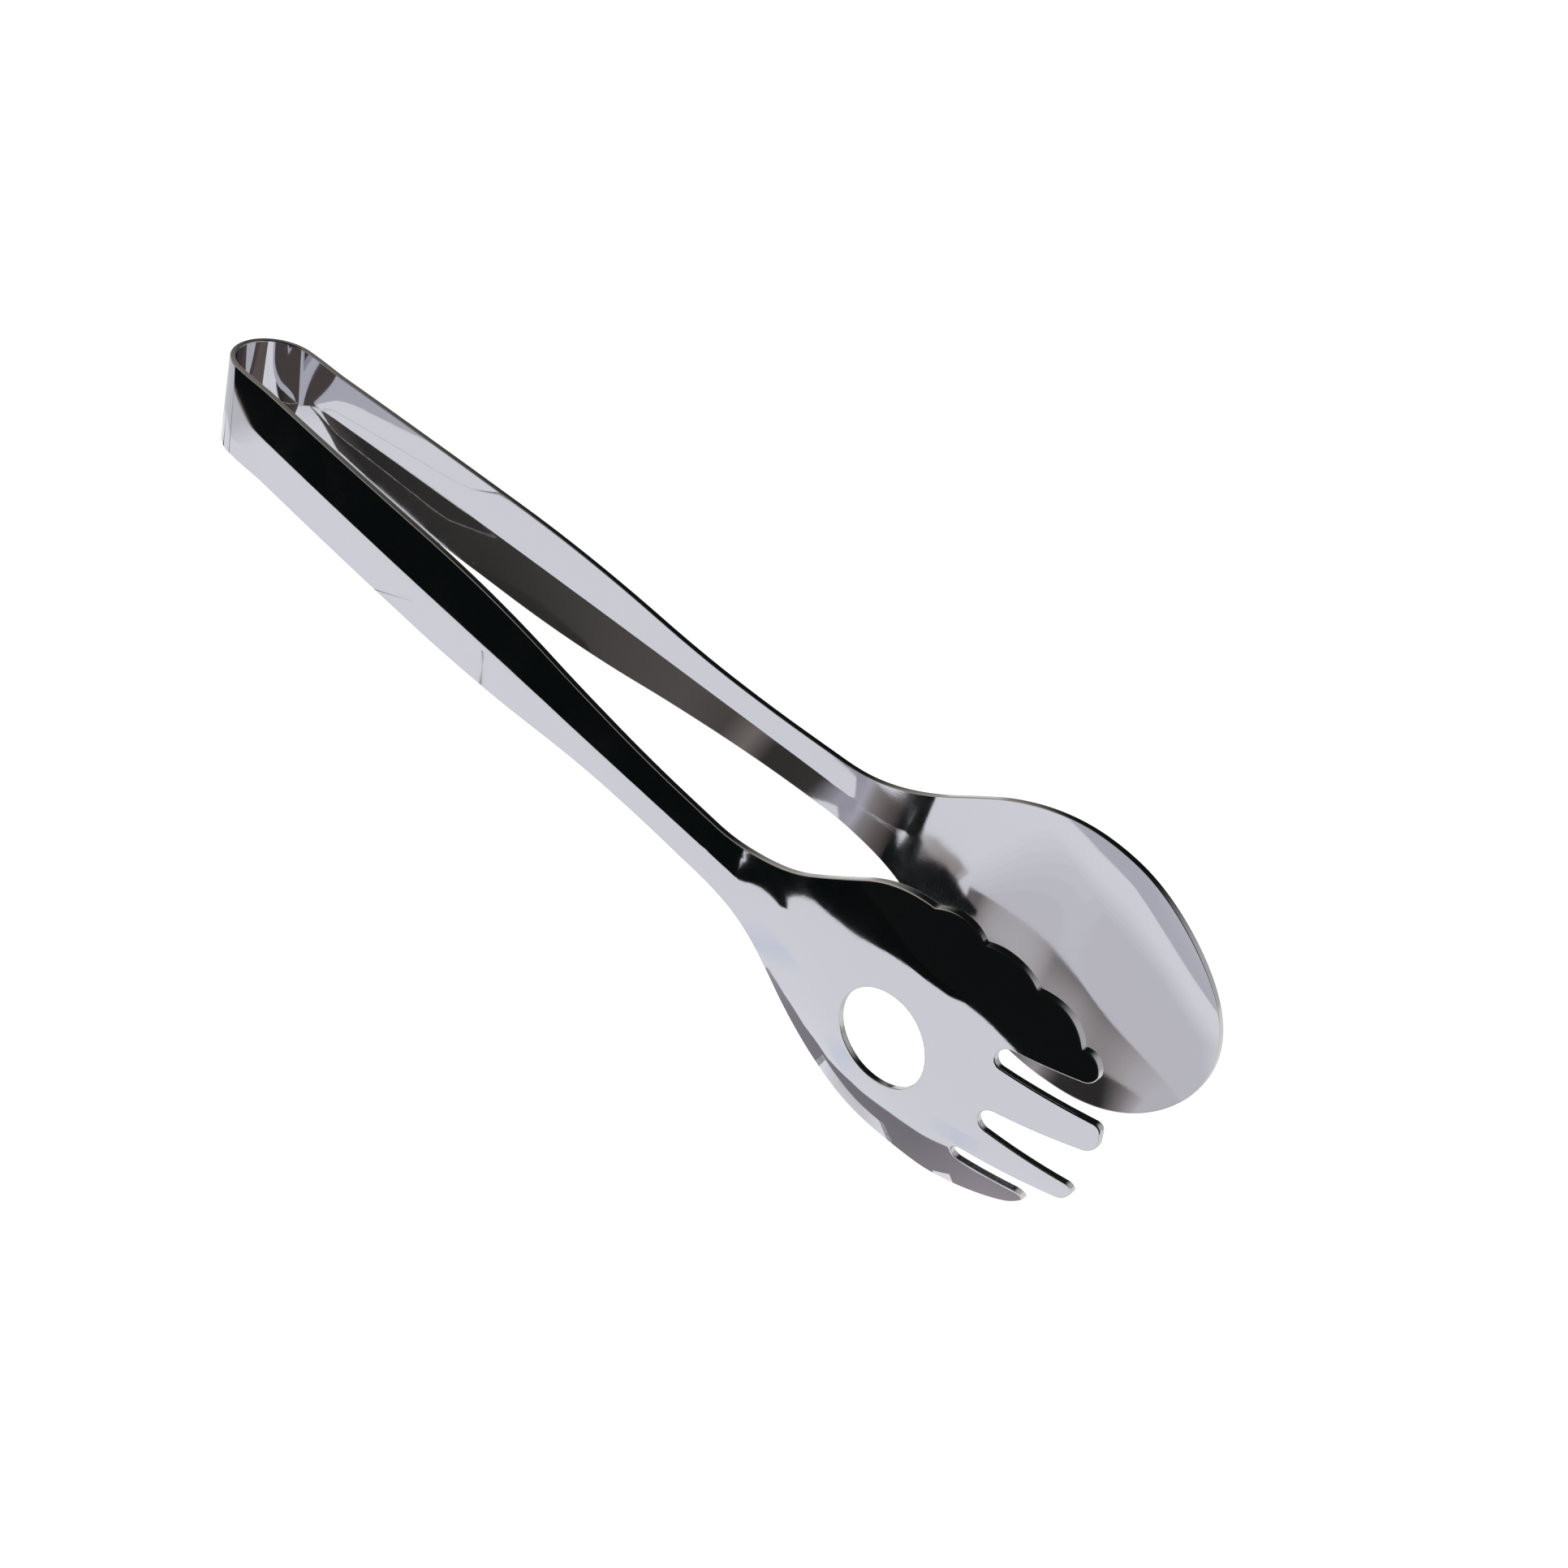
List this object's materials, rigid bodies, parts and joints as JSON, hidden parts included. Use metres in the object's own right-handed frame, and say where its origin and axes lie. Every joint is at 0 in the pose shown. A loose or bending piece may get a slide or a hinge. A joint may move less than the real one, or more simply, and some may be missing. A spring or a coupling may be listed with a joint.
{
  "type": "serving tongs",
  "caption": "Sprung one-piece serving tongs of polished sheet steel: a slotted fork head faces a spoon bowl, joined by a round bow.",
  "frame": {"origin": "centre of the bow's arc, halfway across the strip", "axes": "+X from the bow to the tips, +Y towards the spoon, +Z across the strip, towards the fork's scalloped edge"},
  "size_m": [0.2461, 0.0518, 0.052],
  "materials": {
    "polished_steel": "mirror-polished stainless steel"
  },
  "bodies": {
    "bow": {"spring_bow": "polished_steel"},
    "fork_side": {"fork_arm": "polished_steel", "fork_head": "polished_steel"},
    "spoon_side": {"spoon_arm": "polished_steel", "spoon_bowl": "polished_steel"}
  },
  "joints": [
    {"name": "fork_squeeze", "type": "hinge", "parent": "bow", "child": "fork_side", "pos_m": [0, 0, 0], "axis": [0, 0, 1], "range_deg": [0, 3.75], "stiffness_Nm_per_rad": 20},
    {"name": "spoon_squeeze", "type": "hinge", "parent": "bow", "child": "spoon_side", "pos_m": [0, 0, 0], "axis": [0, 0, -1], "range_deg": [0, 3.75], "stiffness_Nm_per_rad": 20}
  ],
  "couplings": [
    {"joint": "fork_squeeze", "follows": "spoon_squeeze", "ratio": 1}
  ]
}
